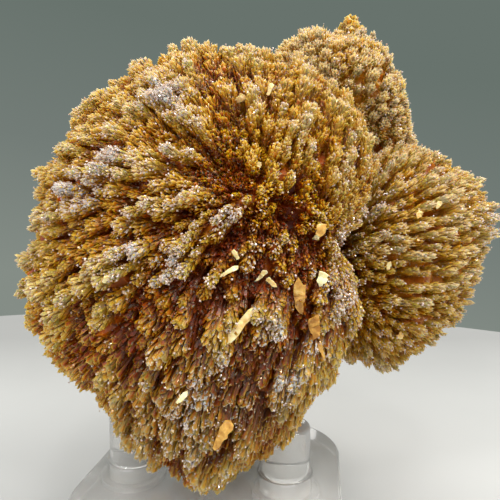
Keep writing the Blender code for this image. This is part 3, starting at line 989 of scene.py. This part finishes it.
def add_flake(bm, tone_mark, middle, flake, rng):
    """One ragged plate that faces the viewer and leans back a little."""
    _, _, width, length, lean, taper, tone = flake
    shares = np.linspace(0.0, 1.0, FLAKE_STATIONS)
    half = width / 2 * (1 - taper * shares) * (1 - (2 * shares - 1)**4)**0.5
    stance = Matrix.Translation(middle) @ Matrix.Rotation(math.radians(lean), 4, "Y")
    for axis in "XZ":
        stance @= Matrix.Rotation(rng.uniform(-FLAKE_TILT, FLAKE_TILT), 4, axis)
    outline = [(side * reach, (0.5 - share) * length)
               for side, order in ((-1, 1), (1, -1))
               for share, reach in zip(shares[::order], half[::order]) if reach > 0.0]
    ends = [(0.0, -length / 2), (0.0, length / 2)]
    turnover = len(outline) // 2
    outline = outline[:turnover] + ends[:1] + outline[turnover:] + ends[1:]
    fresh = []
    for x, z in outline:
        ragged = Vector((x, 0.0, z)) * (1 + rng.uniform(-FLAKE_RAGGEDNESS, FLAKE_RAGGEDNESS))
        ragged.y = noise.noise(ragged + middle) * FLAKE_WARP
        fresh.append(bm.verts.new(stance @ ragged * MM))
    face = bm.faces.new(fresh)
    raised = bmesh.ops.extrude_face_region(bm, geom=[face], use_keep_orig=True)["geom"]
    upper = [item for item in raised if isinstance(item, bmesh.types.BMVert)]
    bmesh.ops.translate(bm, verts=upper, vec=(0.0, -FLAKE_THICKNESS * MM, 0.0))
    for vert in fresh + upper:
        vert[tone_mark] = tone
    rims = [edge for edge in bm.edges if all(vert in upper for vert in edge.verts)]
    bmesh.ops.bevel(bm, geom=rims, offset=FLAKE_THICKNESS / 3 * MM, segments=2, profile=0.5,
                    affect="EDGES", material=-1)


def build_flakes(pieces, rng):
    """All the flakes in one mesh, each set on the first crystal that a line along +Y meets."""
    graph = bpy.context.evaluated_depsgraph_get()
    trees = [BVHTree.FromObject(piece, graph) for piece in pieces]
    bm = bmesh.new()
    tone_mark = bm.verts.layers.float.new("tone")
    for flake in FLAKES:
        middle = Vector((flake[0], PROBE_START, flake[1]))
        probes = [middle + Vector((x * flake[2], 0.0, z * flake[3])) for x, z in FLAKE_PROBES]
        hits = [tree.ray_cast(probe * MM, Vector((0.0, 1.0, 0.0)))[0]
                for tree in trees for probe in probes]
        middle.y = min(hit.y for hit in hits if hit) / MM - FLAKE_LIFT
        add_flake(bm, tone_mark, middle, flake, rng)
    bmesh.ops.triangulate(bm, faces=[face for face in bm.faces if len(face.verts) > 4])
    bmesh.ops.recalc_face_normals(bm, faces=bm.faces)
    return place_mesh("golden_flakes", bm, flake_material())


flakes = build_flakes([heart] + spray_pieces, spray_rng)
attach(flakes, "root")
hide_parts("barite_cluster")

# Table, backdrop and light: a round white table with painted shade that makes it a little darker
# with distance, a plain grey-green background that is bright above and on the viewer's side, four
# large soft lamps, and four small far ones whose glints make the crystals sparkle.

TABLE_CENTRE = (-39.0, -97.0)
TABLE_RADIUS = 300.0
TABLE_THICKNESS = 20.0
TABLE_GAP = 0.05
TABLE_NEAR = ((0.41, 0.415, 0.405, 1.0), (0.45, 0.455, 0.445, 1.0))
# Painted shade: the table's colour darkens away from the viewer, where less light falls
TABLE_FAR_SHADED = ((0.25, 0.253, 0.248, 1.0), (0.275, 0.278, 0.272, 1.0))
TABLE_SHADE_FADE = 8.0
TABLE_SHADE_START = 0.1


def table_material():
    """Matt white laminate with the faintest mottling, and painted shade that darkens it away from the
    viewer.
    """
    material, start, shader = begin_material("white laminate")
    place = start.node("ShaderNodeTexCoord", output=3)
    mottle = start.node("ShaderNodeTexNoise", {}, {"Vector": place, "Scale": 25.0, "Detail": 3.0})
    away = start.node("ShaderNodeSeparateXYZ", {}, {"Vector": place}, output=1)
    # Painted shade: share of the darker far colour, growing with distance
    far_shade = (away * TABLE_SHADE_FADE - TABLE_SHADE_START).clamped()
    feed(shader["Base Color"], far_shade.mix(mottle.mix(*TABLE_NEAR), mottle.mix(*TABLE_FAR_SHADED)))
    feed(shader["Roughness"], 0.75 + mottle * 0.15)
    shader["Specular IOR Level"].default_value = 0.25
    return material


def build_table():
    """Round slab whose top lies just under the stand."""
    bm = bmesh.new()
    middle = (TABLE_CENTRE[0] * MM, TABLE_CENTRE[1] * MM,
              -(TABLE_GAP + TABLE_THICKNESS / 2) * MM)
    bmesh.ops.create_cone(bm, cap_ends=True, segments=256, radius1=TABLE_RADIUS * MM,
                          radius2=TABLE_RADIUS * MM, depth=TABLE_THICKNESS * MM,
                          matrix=Matrix.Translation(middle))
    return place_mesh("table", bm, table_material())


build_table()


SKY_COLOURS = (
    (0.0, linear(133, 141, 134)), (0.25, linear(115, 124, 119)), (0.5, linear(104, 115, 109)),
)
SKY_TILT = 0.2
SKY_LIFT = 0.2
TENT_SIDE = (0.62, 0.62, 0.61, 1.0)
TENT_TOP = (1.75, 1.73, 1.69, 1.0)
TENT_SIDE_START = -0.1
TENT_TOP_START = 0.5
TENT_EDGE = 3.0


def build_sky():
    """Grey-green surroundings, a little lighter towards the horizon, with a bright tent of light."""
    world = bpy.data.worlds.new("plain surroundings")
    world.use_nodes = True
    start = Socket(world.node_tree)
    way = start.node("ShaderNodeTexCoord", output=0)
    across, away, rise = (start.node("ShaderNodeSeparateXYZ", {}, {"Vector": way}, output=axis)
                          for axis in range(3))
    sky = start.node("ShaderNodeValToRGB", {"stops": SKY_COLOURS},
                     {"Fac": rise + across * SKY_TILT + SKY_LIFT})
    overhead = ((rise - TENT_TOP_START) * TENT_EDGE).clamped()
    in_front = ((TENT_SIDE_START - away) * TENT_EDGE).clamped()
    background = world.node_tree.nodes["Background"].inputs
    feed(background["Color"], overhead.mix(in_front.mix(sky, TENT_SIDE), TENT_TOP))
    background["Strength"].default_value = 1.0
    bpy.context.scene.world = world


build_sky()

CLUSTER_MIDDLE = (8.0, 0.0, 52.0)
STAND_FOOT = (0.0, 0.0, 20.0)
SMALL_LAMP_SIZE = 90.0
SMALL_LAMPS = (
    ("small lamp, left", (-340.0, -460.0, 660.0), 0.8),
    ("small lamp, right", (480.0, -520.0, 420.0), 0.8),
    ("small lamp, top", (60.0, -400.0, 780.0), 0.8),
    ("small lamp, low left", (-540.0, -500.0, 300.0), 0.6),
)


def soft_light(name, spot, size, power, colour, target=CLUSTER_MIDDLE):
    """Square soft light that faces the cluster, or another target."""
    lamp = bpy.data.lights.new(name, "AREA")
    lamp.size = size * MM
    lamp.energy = power
    lamp.color = colour
    obj = bpy.data.objects.new(name, lamp)
    obj.location = Vector(spot) * MM
    way = Vector(target) - Vector(spot)
    obj.rotation_euler = way.to_track_quat("-Z", "Y").to_euler()
    bpy.context.scene.collection.objects.link(obj)
    return obj


soft_light("overhead", (140.0, 60.0, 840.0), 440.0, 1.9, (1.0, 0.985, 0.96))
soft_light("upper right", (460.0, -100.0, 700.0), 300.0, 3.8, (1.0, 0.98, 0.945))
soft_light("left", (-560.0, -140.0, 300.0), 340.0, 0.9, (1.0, 0.995, 0.98))
far_lamp = soft_light("low, behind", (0.0, 900.0, 200.0), 360.0, 1.2, (1.0, 1.0, 0.98), STAND_FOOT)
far_lamp.visible_camera = False
for lamp_name, lamp_spot, lamp_power in SMALL_LAMPS:
    soft_light(lamp_name, lamp_spot, SMALL_LAMP_SIZE, lamp_power, (1.0, 1.0, 1.0))

# Viewer: a camera matched to the plate and the pegs, a little above the cluster's middle and
# looking slightly down.

CAMERA_SPOT = (6.95, -97.0, 62.5)
CAMERA_PITCH = math.radians(4.92)

view = bpy.data.cameras.new("viewer")
view.lens = 36.0
view.sensor_width = 36.0
view.clip_start = 1.0 * MM
viewer = bpy.data.objects.new("viewer", view)
viewer.location = Vector(CAMERA_SPOT) * MM
viewer.rotation_euler = (math.pi / 2 - CAMERA_PITCH, 0.0, 0.0)
bpy.context.scene.collection.objects.link(viewer)
bpy.context.scene.camera = viewer
bpy.context.scene.view_settings.view_transform = "Standard"
